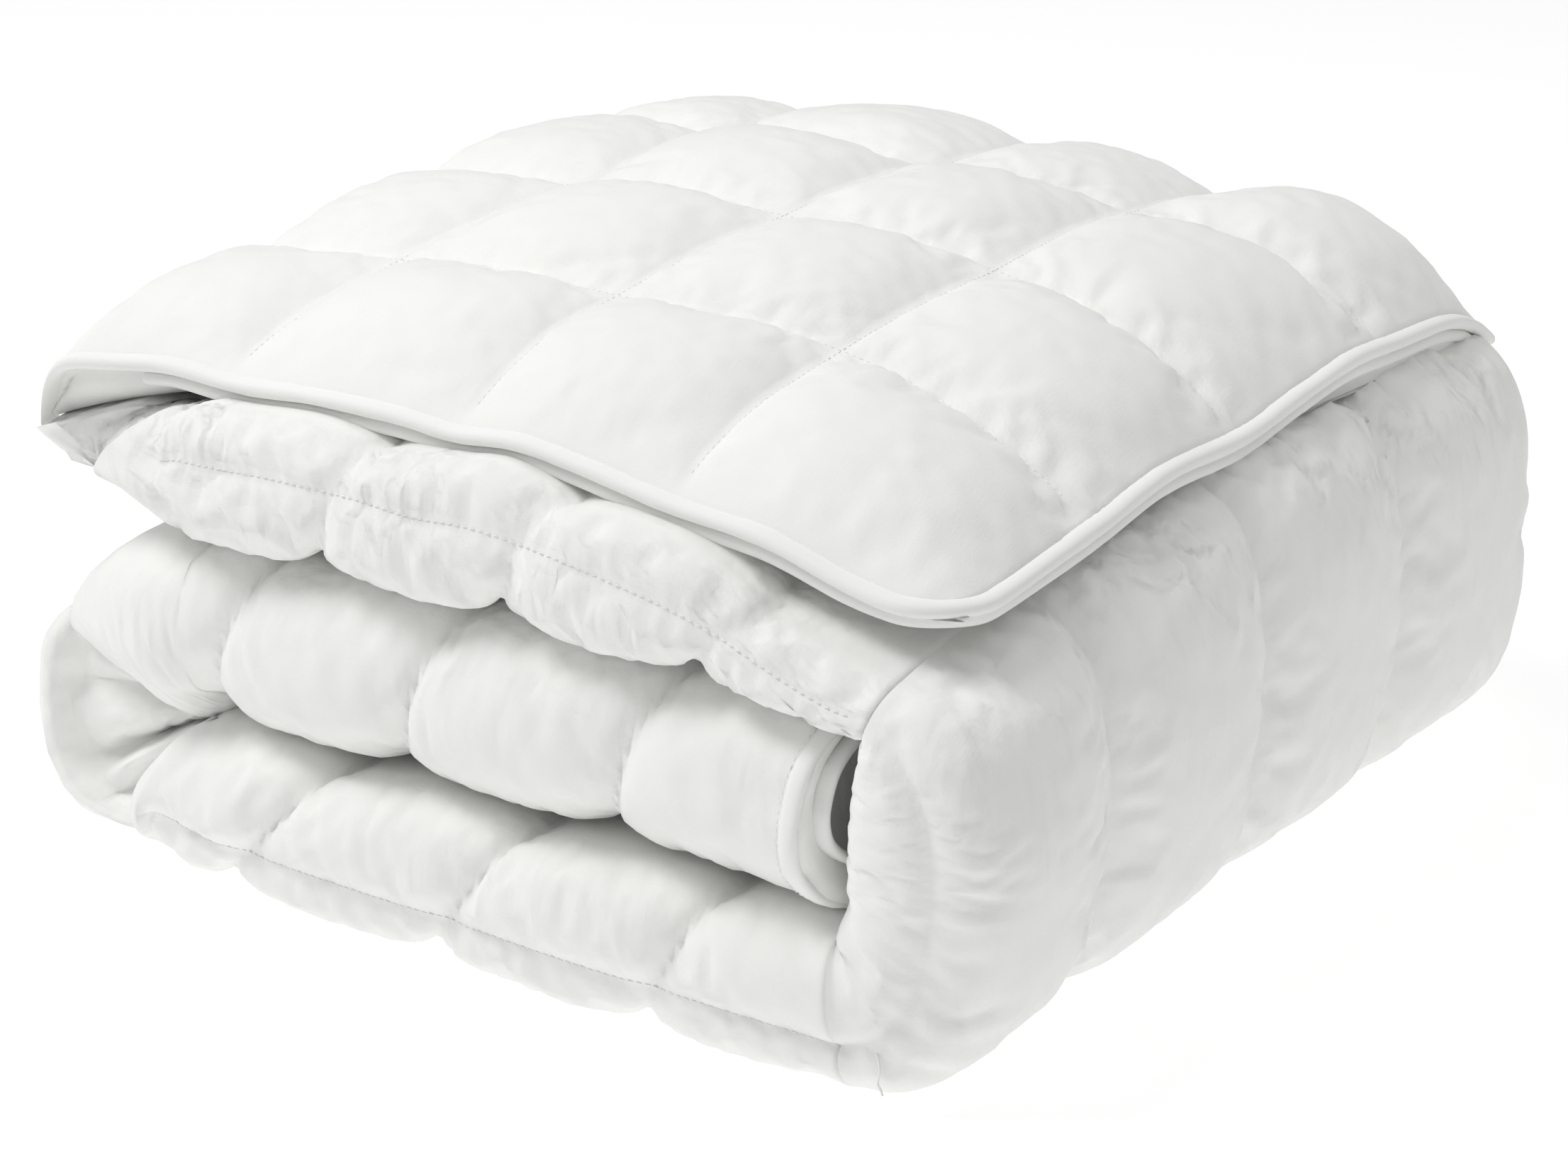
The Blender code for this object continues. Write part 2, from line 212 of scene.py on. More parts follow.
def flap_shell(step):
    # u: running distance from the fold's outermost line (0) to the right edge
    xs = np.concatenate([
        np.array([HINGE_X + 0.0005 + 0.034 * (1 - math.cos(t)) for t in np.linspace(0, math.pi / 2, int(0.055 / step) + 2)])[:-1],
        spaced(HINGE_X + 0.035, FLAP_COLS[0], step)[:-1], spaced(FLAP_COLS[0], FLAP_COLS[1], step)[:-1],
        spaced(FLAP_COLS[1], FLAP_COLS[2], step)[:-1], spaced(FLAP_COLS[2], RX, step)])
    ys = np.concatenate([spaced(BY, 0.140, step)[:-1], spaced(0.140, 0.0, step)[:-1], spaced(0.0, -0.140, step)[:-1], spaced(-0.140, FY, step)])
    X0, Y0 = np.meshgrid(xs, ys, indexing="ij")
    X, Y = X0 + uneven(X0, Y0, UNEVEN_X), Y0 + uneven(X0, Y0, UNEVEN_Y)
    # the round corner
    r = 0.034
    a = np.clip((X - (RX - r)) / r, 0, 1)
    b = np.clip(((FY + r) - Y) / r, 0, 1)
    Xc = np.where((a > 0) & (b > 0), RX - r + r * a * np.sqrt(1 - b * b / 2), X)
    Yc = np.where((a > 0) & (b > 0), FY + r - r * b * np.sqrt(1 - a * a / 2), Y)
    Z = flap_base(Xc, Yc)
    # left: round the fold, from the top down to the hinge line
    t = np.clip((HINGE_X + 0.0005 + 0.024 - X) / 0.024, 0, 1)
    zh = hinge_level(Y)
    top = flap_base(np.maximum(Xc, HINGE_X + 0.0005), Yc)
    Z = zh + (top - zh) * np.sqrt(np.clip(1 - t ** 2.3, 0, 1))
    # quilting
    dc = near(X0, FLAP_COLS + [RX])
    dr = near(Y0, FLAP_ROWS + [FY])
    lx = 0.45 * rise(dc, 0.010) + 0.55 * rise(dc, 0.030)
    ly = 0.45 * rise(dr, 0.010) + 0.55 * rise(dr, 0.030)
    puff = 0.0135 * lx * ly
    edge = np.minimum(rise(RX - X0, 0.016), rise(Y0 - FY, 0.016))
    puff = puff * (0.55 + 0.45 * edge) * (1 - 0.35 * t)
    bk = smooth(BY, BY - 0.05, Y0)
    puff = puff * (0.3 + 0.7 * bk)
    return X0, Y0, Xc, Yc, Z, puff, t


def build_flap():
    step = 0.0036
    X0, Y0, X, Y, Z, puff, t = flap_shell(step)
    ys = Y0[-1]
    K, N = X.shape
    top = np.stack([X, Y, Z + puff], axis=-1)
    # front side: a bound edge, which turns into a pleated web towards the fold
    web = smooth(-0.180, -0.215, X[:, -1])          # 1 in the mouth of the fold
    top[:, :, 1] -= 0.015 * smooth(-0.205, -0.280, X) * smooth(-0.190, FY, Y)
    y_rim = top[:, -1, 1]
    zf = top[:, -1, 2]
    y_web = curve(WEB_LINE, X[:, -1])
    split = np.minimum(split_level(X[:, -1], y_web), zf - 0.0015)
    under_f = zf - 0.007
    low = under_f * (1 - web) + split * web
    y_low = y_rim * (1 - web) + y_web * web
    nf = 14
    front = []
    y_in = y_rim + np.minimum(0.010, 0.9 * (y_low - y_rim))
    for i in range(1, nf):
        f = i / nf
        # a rolled edge 8 mm deep, a step in, then the tucked ply curving back to the crease
        edge_share = np.clip(0.008 / np.maximum(zf - low, 0.008), 0, 0.9)
        g = f / edge_share
        roll = -0.0022 * np.sin(math.pi * np.clip(g, 0, 1)) + 0.010 * smooth(0.75, 1.15, g) * (y_in - y_rim) / 0.010
        h = np.clip((f - edge_share * 1.15) / (1 - edge_share * 1.15 + 1e-6), 0, 1)
        lobe = y_in + (y_low - y_in) * h ** 3.2 - 0.004 * np.sin(math.pi * h)
        yy_web = np.where(g < 1.15, y_rim + roll, lobe)
        yy = (y_rim - 0.0025 * math.sin(math.pi * f)) * (1 - web) + yy_web * web
        front.append(np.stack([X[:, -1], yy, zf + (low - zf) * f], axis=-1))
    # underside
    yb = spaced(FY, BY - 0.010, 0.012)
    under = []
    for y in yb:
        u = (y - FY) / (BY - 0.010 - FY)
        yc = y_low + (Y[:, 0] - 0.010 - y_low) * u
        zz = split_level(np.clip(X[:, 0], -0.2893, RX), yc)
        w2 = (1 - u) ** 8
        zz = zz * (1 - w2) + low * w2
        under.append(np.stack([X[:, 0], yc, zz], axis=-1))
    back = []
    for i in (1, 2):
        f = i / 3
        back.append(top[:, 0] * f + under[-1] * (1 - f) + np.array([0, 0.004, 0]))
    rings = np.concatenate([top, np.stack(front, axis=1), np.stack(under, axis=1), np.stack(back, axis=1)], axis=1)
    # collapse the right end inside the binding and the left end on the hinge line
    last = rings[-1].copy()
    last[:, 2] = np.interp(last[:, 1], ys[::-1], flap_base(np.full(len(ys), RX), ys[::-1])) - 0.003
    rings = np.concatenate([rings, last[None]], axis=0)
    K, M = rings.shape[:2]
    H = np.ones((K, M))
    free = np.maximum(hold(near(X0, FLAP_COLS), 0.001, 0.0045), hold(near(Y0, FLAP_ROWS), 0.001, 0.0045))
    free = np.maximum(free, np.maximum(1 - smooth(0.003, 0.008, RX - X0), 1 - smooth(0.003, 0.008, Y0 - FY)))
    free = np.maximum(free, 1 - smooth(0.004, 0.016, X0 - HINGE_X))
    H[:K - 1, :N] = free
    r = np.stack([Noise(s)(np.arange(K)[:, None] * 0.41, np.arange(M)[None, :] * 0.41) for s in (11, 12, 13)], axis=-1) * 0.0007
    rings = rings + r * (1 - H[..., None])
    o = grid_mesh("flap_quilt", rings)
    held = np.array(list(H.ravel()) + [1.0] * (len(o.data.vertices) - K * M))
    facing(o)
    return o, (X0, Y0, X, Y, Z, top, (K, M)), held


# ---------------------------------------------------------------- the folded strip
def contact_level(x, y):
    """Underside of the flap, where the second panel may reach."""
    return flap_base(np.clip(x, -0.2885, RX), np.clip(y, FY, BY)) - 0.0085 - 0.020 * smooth(0.0, 0.05, y - FY) * smooth(0.0, 0.06, RX - x + 0.004)


def dome(x, y, z):
    xc = np.clip(x, -0.30, 0.30)
    a = (xc - SHIFT) / CELL
    lvl = 0.3185 - 0.0054 * a - 0.010 * a * a - 0.014 * np.maximum(a - 1, 0) ** 2 - 0.0412
    share = np.clip((z - DOME) / (lvl - DOME), 0, 1)
    b = y / CELL
    return z + share * (0.0096 * b - 0.0045 * b * b)


FRONT, REAR = -0.3165, 0.3165
STRIP_ROWS = [-0.185, -0.035, 0.122]


class Strip:
    """Rings of a folded ply: each station has an inner point, an outer point, how convex its front is (1 a roll, 0 a tucked web), and its quilting."""

    def __init__(self, step):
        self.step = step
        self.phi = np.linspace(0, 1, 25)
        self.yin = 12
        self.rows = [-0.185, -0.035, 0.122, 0.272]

    def ring(self, st):
        I, O = np.array(st["I"]), np.array(st["O"])
        c = st["c"]
        h = np.linalg.norm(O - I) / 2
        n = (O - I) / (2 * h)
        mid = (I + O) / 2
        b = st.get("b", min(max(h, 0.020), 0.044) * (0.6 + 0.4 * c))
        BACK = st.get("back", REAR)
        reach = st.get("front", 0.0)
        y0 = FRONT + reach + b
        pts, meta = [], []
        # inner face, back to front
        for y in np.linspace(BACK - b, y0, self.yin)[1:-1]:
            pts.append((mid[0] - n[0] * h, y, mid[1] - n[1] * h)); meta.append((0, y))
        # front
        for f in self.phi:
            s = -h * math.cos(math.pi * f)
            roll = math.sin(math.pi * f) ** (0.78 - 0.38 * st.get("square", 0.0) * (f > 0.5) - 0.24 * st.get("tight", 0.0) * (f < 0.5))
            yc = y0 - b * roll
            sw = -h + 2 * h * f
            g = f if st.get("hub", "I") == "I" else 1 - f       # 0 at the inner crease, 1 on the rim
            yi, yr = st.get("yI", -0.258), st.get("yR", FRONT + 0.012)
            inside = yr + 0.013 + (yi - yr - 0.013) * (1 - min(g / 0.88, 1)) ** 0.8
            inside += st.get("pleat", 0.0) * math.sin(math.pi * min(g / 0.90, 1)) ** 0.7
            lip = float(smooth(0.86, 0.93, g))
            yw = inside * (1 - lip) + yr * lip + (0.004 * ((g - 0.95) / 0.05) ** 2 if g > 0.95 else 0)
            s = s * c + sw * (1 - c)
            y = yc * c + yw * (1 - c)
            pts.append((mid[0] + n[0] * s, y, mid[1] + n[1] * s)); meta.append((1, f))
        # outer face, front to back
        n_out = int((BACK - b - y0) / (self.step * 1.0))
        n_out = self.nout
        for y in np.linspace(y0, BACK - b, n_out)[1:-1]:
            pts.append((mid[0] + n[0] * h, y, mid[1] + n[1] * h)); meta.append((2, y))
        for f in np.linspace(1, 0, 13):
            s = -h * math.cos(math.pi * f)
            pts.append((mid[0] + n[0] * s, BACK - b + b * math.sin(math.pi * f) ** 0.85, mid[1] + n[1] * s)); meta.append((3, f))
        return np.array(pts), meta

    def build(self, stations, nout=120):
        self.nout = nout
        P, meta = [], None
        for st in stations:
            p, meta = self.ring(st)
            P.append(p)
        return np.array(P), meta


def strip_puff(P, meta, stations, amount, row_phi, row_depth):
    """Pushes each ring out between its seams, along its own normals."""
    K, M = P.shape[:2]
    du = np.roll(P, -1, axis=1) - np.roll(P, 1, axis=1)
    dk = np.empty_like(P)
    dk[1:-1] = P[2:] - P[:-2]
    dk[0], dk[-1] = P[1] - P[0], P[-1] - P[-2]
    nrm = np.cross(du, dk)
    nrm /= np.linalg.norm(nrm, axis=-1, keepdims=True) + 1e-12
    centre = P.mean(axis=1, keepdims=True)
    sign = np.sign(np.sum(nrm * (P - centre), axis=(1, 2)))
    sign = 1.0 if np.sum(sign) > 0 else -1.0
    nrm *= sign
    kind = np.array([m[0] for m in meta])
    val = np.array([m[1] for m in meta], float)
    run = np.array([st["run"] for st in stations])
    y_front = P[:, kind == 1][:, -1:, 1]
    y_in = P[:, kind == 1][:, :1, 1]
    share = np.where(kind == 1, val[None, :] - 0.5, np.where(kind == 2, 0.5 * np.exp(-np.abs(P[..., 1] - y_front) / 0.05), np.where(kind == 0, -0.5 * np.exp(-np.abs(P[..., 1] - y_in) / 0.05), 0.0)))
    wander = Noise(5)(np.arange(K)[:, None] * 0.02 + 3, np.arange(M)[None, :] * 0.16) * 0.0022
    each = [(np.abs(run[:, None] - w + sl * share + (wander if sl else 0)), depth) for w, sl, depth in stations[0]["where"]]
    d_col = np.min([d for d, _ in each], axis=0)
    A = np.array([st.get("amp", 1.0) for st in stations])[:, None] * amount
    lc = np.min([1 - depth * (1 - np.where(kind == 1, 0.62 * rise(d, 0.010) + 0.38 * rise(d, 0.030), rise(d, 0.020))) for d, depth in each], axis=0)
    rows = np.ones((K, M))
    for y in STRIP_ROWS:
        rows = np.minimum(rows, np.where((kind == 2) | (kind == 0), 0.55 * rise(P[..., 1] - y, 0.009) + 0.45 * rise(P[..., 1] - y, 0.032), 1.0))
    arc = np.array([st["h2"] for st in stations])[:, None] * math.pi / 2
    rp = np.array([row_phi(st) for st in stations])[:, None]
    rd = np.array([row_depth(st) for st in stations])[:, None]
    d_row = np.where(kind == 1, np.abs(val[None, :] - rp) * arc, np.where(kind == 2, np.abs(P[..., 1] - P[:, kind == 2][:, :1, 1]) + (1 - rp) * arc, 1.0))
    rr = 1 - rd * (1 - rise(d_row, 0.014))
    rr = np.where(kind == 3, 0.35 + 0.65 * rise((val[None, :] - 0.5) * arc, 0.014), rr)
    D = A * lc * rows * rr
    conv = np.array([st["c"] for st in stations])[:, None]
    D = D * np.where(kind == 1, 0.25 + 0.75 * conv, 1.0)
    return P + nrm * D[..., None], d_col, d_row


def stations_between(a, b, step, rule):
    """rule(t) for t in 0..1, as many as the outer point's travel needs."""
    t = np.linspace(0, 1, 60)
    pts = np.array([rule(x)["O"] for x in t])
    L = np.linalg.norm(np.diff(pts, axis=0), axis=1).sum()
    n = max(int(L / step), 6)
    seg = np.concatenate([[0], np.cumsum(np.linalg.norm(np.diff(pts, axis=0), axis=1))])
    tt = np.interp(np.linspace(0, seg[-1], n + 1), seg, t)
    return [rule(x) for x in tt]


def finish_stations(sts, seams_at):
    """Adds to each station its distance along the strip to the nearest column seam, and its size."""
    mids = np.array([(np.array(s["I"]) * 0.35 + np.array(s["O"]) * 0.65) for s in sts])
    run = np.concatenate([[0], np.cumsum(np.linalg.norm(np.diff(mids, axis=0), axis=1))])
    where = []
    for test in seams_at:
        k = int(np.argmin([test(s) for s in sts]))
        where.append((run[k],) + test(None))
    for s, r in zip(sts, run):
        s["where"] = where
        s["d"] = min([abs(r - w[0]) for w in where] + [9])
        s["run"] = r
        s["h2"] = np.linalg.norm(np.array(s["O"]) - np.array(s["I"]))
    return sts


STEP = 0.0042
AMOUNT = 0.0120          # how far a pocket stands out from its seams


def path(points, t):
    """A point on a smooth path through (x, z) points, by share of its length."""
    p = np.array(points, float)
    s = np.concatenate([[0], np.cumsum(np.linalg.norm(np.diff(p, axis=0), axis=1))])
    s /= s[-1]
    return (float(curve(list(zip(s, p[:, 0])), t)), float(curve(list(zip(s, p[:, 1])), t)))


def inner_rule(t):
    x = 0.214 + (-0.170 - 0.214) * t
    return {"I": (x, Z1 + 0.0010), "O": (x, Z2 - 0.0015), "c": 1.0, "part": "inner", "tight": 0.5 * float(smooth(1.0, 0.85, t))}


LOW_RIM = [(-0.170, Z2 - 0.0015), (-0.205, 0.1985), (-0.238, 0.180), (-0.268, 0.154), (-0.292, 0.124), (-0.308, 0.094), (-0.3135, 0.064),
           (-0.3120, 0.036), (-0.3020, 0.014), (-0.285, 0.003), (-0.262, 0.0), (-0.235, 0.0)]


def low_pleat(t):
    """Folds of the tucked web, fanning out from the inner crease."""
    p = 0.0
    for at, wide, deep in ((0.525, 0.022, 0.012), (0.610, 0.020, 0.008), (0.690, 0.045, -0.007), (0.768, 0.020, 0.024), (0.818, 0.022, -0.007), (0.868, 0.018, 0.020), (0.905, 0.012, -0.004), (0.938, 0.014, 0.013)):
        p += deep * math.exp(-((t - at) / wide) ** 2)
    return p


def low_rule(t):
    I = (-0.170 - 0.015 * math.sin(math.pi * t), Z1 + 0.0010 - 0.0020 * t - 0.005 * math.sin(math.pi * t))
    c = 1 - float(smooth(0.46, 0.56, t) * (1 - smooth(0.93, 0.995, t)))
    return {"I": I, "O": path(LOW_RIM, t), "c": c, "part": "low", "yI": -0.262, "yR": -0.2895, "fan": t, "pleat": low_pleat(t),
            "b": 0.047 - 0.025 * float(smooth(0.0, 0.45, t)) + 0.022 * float(smooth(0.93, 1.0, t)), "front": 0.020 * float(smooth(0.10, 0.50, t) * (1 - smooth(0.92, 1.0, t)))}


def bottom_rule(t):
    I = (-0.170 + (0.232 + 0.170) * t, Z1 - 0.0010)
    O = (-0.235 + (0.240 + 0.235) * t, 0.0)
    return {"I": I, "O": O, "c": 1.0, "part": "bottom", "tight": float(smooth(0.0, 0.15, t)), "square": float(smooth(0.0, 0.15, t)), "front": -0.011 * float(smooth(0.0, 0.15, t)) + 0.006 * float(smooth(0.70, 1.0, t))}


WALL_OUT = [(0.240, 0.0), (0.258, 0.0035), (0.2745, 0.015), (0.2905, 0.037), (0.3010, 0.070), (0.3060, 0.108), (0.3070, 0.142), (0.3040, 0.175),
            (0.2965, 0.202), (0.284, 0.222), (0.266, 0.2345), (0.248, 0.241)]
WALL_IN = [(0.232, Z1 - 0.0010), (0.2330, 0.100), (0.2300, 0.128), (0.2290, 0.150), (0.2320, 0.175), (0.2360, 0.195), (0.2380, Z2 + 0.001)]


def wall_rule(t):
    return {"I": path(WALL_IN, t), "O": path(WALL_OUT, t), "c": 1.0, "part": "wall", "t": t, "back": REAR - 0.032 * float(smooth(0.0, 0.35, t)), "tight": 1 - float(smooth(0.0, 0.25, t)), "square": 1 - float(smooth(0.0, 0.35, t)), "front": -0.005 * (1 - float(smooth(0.0, 0.25, t)))}


def second_rule(t):
    xI = 0.238 + (-0.192 - 0.238) * t
    xO = 0.248 + (-0.182 - 0.248) * t
    return {"I": (xI, Z2 + 0.001), "O": (xO, 0.241 + 0.036 * float(smooth(0, 0.5, t))), "c": 1.0, "part": "second", "raise": float(smooth(0, 0.35, t)), "back": REAR - 0.032 * (1 - float(smooth(0.0, 0.45, t)))}


# the lower half of the upper left fold: (x, share of the way up to the hinge line)
UP_LOW = [(-0.192, 0.0), (-0.212, 0.01), (-0.233, 0.06), (-0.254, 0.17), (-0.270, 0.31), (-0.2797, 0.48), (-0.2854, 0.73), (-0.2866, 0.99)]


def up_rule(t):
    x, g = path(UP_LOW, t)
    I = (x, Z2 + 0.001 + (HINGE_Z - Z2) * g)
    O = (-0.182 - 0.006 * math.sin(math.pi * t), 0.277)
    c = 1 - float(smooth(0.30, 0.45, t))
    return {"I": I, "O": O, "c": c, "part": "up", "raise": 1.0, "share": g, "hub": "O", "yI": -0.250, "yR": -0.2870, "back": REAR - (REAR - BY + 0.004) * float(smooth(0.15, 1.0, t)), "b": 0.040 - 0.016 * float(smooth(0.1, 0.6, t)), "front": 0.022 * float(smooth(0.05, 0.55, t)),
            "pleat": 0.012 * math.exp(-((t - 0.47) / 0.05) ** 2) - 0.006 * math.exp(-((t - 0.66) / 0.10) ** 2) + 0.012 * float(smooth(0.85, 1.0, t))}


def strip_stations(step):
    sts = []
    for rule in (inner_rule, low_rule, bottom_rule, wall_rule, second_rule, up_rule):
        part = stations_between(0, 1, step * (0.62 if rule in (low_rule, up_rule) else 1.0), rule)
        sts += part if not sts else part[1:]
    def x_of(part, x, lean):
        return lambda s: (lean, 1.0) if s is None else abs((s["O"][0] + s["I"][0]) / 2 - x) + (0 if s["part"] == part else 9)
    def t_of(part, t, key, depth):
        return lambda s: (0.0, depth) if s is None else abs(s.get(key, 9) - t) + (0 if s["part"] == part else 9)
    seams = [x_of("inner", 0.107, 0.040), x_of("inner", -0.022, 0.040), x_of("inner", -0.148, 0.040), x_of("bottom", -0.118, 0.036), x_of("bottom", 0.014, 0.036),
             x_of("bottom", 0.140, 0.036), t_of("wall", 0.0, "t", 0.38), t_of("wall", 1.0, "t", 0.65), x_of("second", 0.158, 0.030), x_of("second", 0.046, 0.030),
             x_of("second", -0.072, 0.030), x_of("up", -0.186, 0.0)]
    finish_stations(sts, seams)
    return sts


def build_strip():
    step = STEP
    sts = strip_stations(step)
    S = Strip(step)
    inset = AMOUNT * 0.92
    work = []
    for s in sts:
        I, O = np.array(s["I"]), np.array(s["O"])
        n = (O - I) / np.linalg.norm(O - I)
        L = np.linalg.norm(O - I)
        full = min(inset, L * 0.22)
        share = 1.0
        if s["part"] == "up":
            share = 1 - float(smooth(0.45, 0.95, s["share"]))
        if s["part"] == "low":
            share = 1 - 0.75 * float(smooth(0.30, 0.50, s["fan"]) * (1 - smooth(0.94, 1.0, s["fan"])))
        k = full * share
        q = dict(s)
        q["I"], q["O"] = tuple(I + n * k), tuple(O - n * k)
        q["front"] = s.get("front", 0.0) + inset * s["c"]
        q["amp"] = k / inset
        work.append(q)
    nout = 132
    P, meta = S.build(work, nout)
    P, d_col, d_row = strip_puff(P, meta, work, AMOUNT, lambda s: 0.62, lambda s: {"inner": 0.0, "low": 0.0, "bottom": 0.75, "wall": 0.65, "second": 0.75, "up": 0.2}[s["part"]])
    kind = np.array([m[0] for m in meta])
    val = np.array([m[1] for m in meta], float)
    flare = np.where(kind == 1, np.abs(2 * val - 1) ** 2.5, 1.0) * np.where((kind == 0) | ((kind == 1) & (val < 0.5)), 0.016, 0.009)
    for k, s in enumerate(sts):
        if s["part"] == "inner":
            P[k][:, 0] += flare * math.exp(-(0.214 - s["I"][0]) / 0.028)
    for k, s in enumerate(sts):
        p = P[k]
        z0 = p[:, 2].copy()
        zd = dome(p[:, 0], p[:, 1], z0)
        rw = s.get("raise", 0.0)
        if rw > 0:
            Iz, Oz = s["I"][1], s["O"][1]
            f = np.clip((z0 - Iz) / (Oz - Iz), -0.04, 1.02)
            low = dome(p[:, 0], p[:, 1], np.full(len(p), Z2 + 0.001))
            low = low + (hinge_level(p[:, 1]) - low) * s.get("share", 0.0)
            top = contact_level(np.maximum(p[:, 0], -0.186), p[:, 1]) - 0.006 * smooth(-0.168, -0.190, p[:, 0]) * sag(p[:, 1]) / 0.0075
            zr = low + (top - low) * f
            zd = zd * (1 - rw) + zr * rw
        cover = (p[:, 0] < 0.270)
        if s["part"] in ("wall", "second", "up"):
            lim = split_level(p[:, 0], p[:, 1]) - 0.0010
            zd = np.where(cover & (s.get("t", 1) > 0.6), np.minimum(zd, lim), zd)
        p[:, 2] = np.maximum(zd, 0.0008)
    return P, sts, meta, d_col, d_row


def split_level(x, y):
    """The underside of the flap at its left end, down to the hinge line."""
    x = np.asarray(x, float)
    base = contact_level(x, y)
    t = np.clip((-0.182 - x) / 0.1065, 0, 1)
    at_crease = contact_level(np.maximum(x, -0.182), y) - 0.006 * smooth(-0.168, -0.190, x) * sag(y) / 0.0075
    return at_crease * (1 - t) + hinge_level(y) * t


# ---------------------------------------------------------------- materials
def cotton(name, tint=(0.900, 0.899, 0.878), weave=1.0, gather=0.0):
    m = bpy.data.materials.new(name)
    m.use_nodes = True
    nt = m.node_tree
    N, L = nt.nodes, nt.links
    b = N["Principled BSDF"]
    b.inputs["Roughness"].default_value = 0.82
    b.inputs["Sheen Weight"].default_value = 0.25
    b.inputs["Sheen Roughness"].default_value = 0.5
    co = N.new("ShaderNodeTexCoord")
    big = N.new("ShaderNodeTexNoise"); big.inputs["Scale"].default_value = 9.0; big.inputs["Detail"].default_value = 3.0
    L.new(co.outputs["Object"], big.inputs["Vector"])
    ramp = N.new("ShaderNodeMapRange"); ramp.inputs["To Min"].default_value = 0.975; ramp.inputs["To Max"].default_value = 1.02
    L.new(big.outputs["Fac"], ramp.inputs["Value"])
    col = N.new("ShaderNodeVectorMath"); col.operation = "SCALE"
    rgb = N.new("ShaderNodeCombineXYZ")
    for i, v in enumerate(tint):
        rgb.inputs[i].default_value = v
    L.new(rgb.outputs[0], col.inputs[0]); L.new(ramp.outputs[0], col.inputs["Scale"])
    L.new(col.outputs[0], b.inputs["Base Color"])
    # weave: two crossed sets of fine threads, with uneven slubs
    sums = None
    for scale in ((1300.0, 110.0, 110.0), (110.0, 1300.0, 1300.0), (520.0, 520.0, 520.0)):
        v = N.new("ShaderNodeVectorMath"); v.operation = "MULTIPLY"
        v.inputs[1].default_value = scale
        L.new(co.outputs["Object"], v.inputs[0])
        n = N.new("ShaderNodeTexNoise"); n.inputs["Scale"].default_value = 1.0; n.inputs["Detail"].default_value = 1.0
        L.new(v.outputs[0], n.inputs["Vector"])
        if sums is None:
            sums = n.outputs["Fac"]
        else:
            add = N.new("ShaderNodeMath"); add.operation = "ADD"
            L.new(sums, add.inputs[0]); L.new(n.outputs["Fac"], add.inputs[1])
            sums = add.outputs[0]
    mix = N.new("ShaderNodeMath"); mix.operation = "MULTIPLY"; mix.inputs[1].default_value = 1.0
    L.new(sums, mix.inputs[0])
    bump = N.new("ShaderNodeBump"); bump.inputs["Strength"].default_value = 0.22 * weave; bump.inputs["Distance"].default_value = 0.0004
    L.new(mix.outputs[0], bump.inputs["Height"])
    L.new(bump.outputs[0], b.inputs["Normal"])
    if gather:
        # upright gathers drawn up by the stitching, patchy, strongest round the top of the wall
        def scaled(x, y, z, detail):
            v = N.new("ShaderNodeVectorMath"); v.operation = "MULTIPLY"
            v.inputs[1].default_value = (x, y, z)
            L.new(co.outputs["Object"], v.inputs[0])
            n = N.new("ShaderNodeTexNoise"); n.inputs["Scale"].default_value = 1.0; n.inputs["Detail"].default_value = detail
            L.new(v.outputs[0], n.inputs["Vector"])
            return n.outputs["Fac"]
        def mapped(value, lo, hi, a, c):
            r = N.new("ShaderNodeMapRange")
            for key, w in (("From Min", lo), ("From Max", hi), ("To Min", a), ("To Max", c)):
                r.inputs[key].default_value = w
            L.new(value, r.inputs["Value"])
            return r.outputs[0]
        def times(p, q):
            k = N.new("ShaderNodeMath"); k.operation = "MULTIPLY"
            L.new(p, k.inputs[0]); L.new(q, k.inputs[1])
            return k.outputs[0]
        sep = N.new("ShaderNodeSeparateXYZ")
        L.new(co.outputs["Object"], sep.inputs[0])
        ridges = scaled(78.0, 78.0, 15.0, 1.5)
        patch = mapped(scaled(11.0, 11.0, 17.0, 1.0), 0.42, 0.62, 0.15, 1.0)
        top = mapped(sep.outputs[2], 0.165, 0.225, 0.35, 1.0)
        fold = N.new("ShaderNodeBump"); fold.inputs["Strength"].default_value = 1.0; fold.inputs["Distance"].default_value = 0.0040 * gather
        L.new(times(times(ridges, patch), top), fold.inputs["Height"])
        L.new(fold.outputs[0], bump.inputs["Normal"])
    return m


SHELL = cotton("shell_cotton")
GATHERED = cotton("shell_cotton_gathered", gather=1.9)
TAPE = cotton("binding_cotton", (0.908, 0.908, 0.890), 0.6)

# ---------------------------------------------------------------- letting the cloth find its own creases
def hold(d, a=0.0022, b=0.0075):
    """1 on a seam, 0 away from it."""
    return 1 - smooth(a, b, np.abs(d))


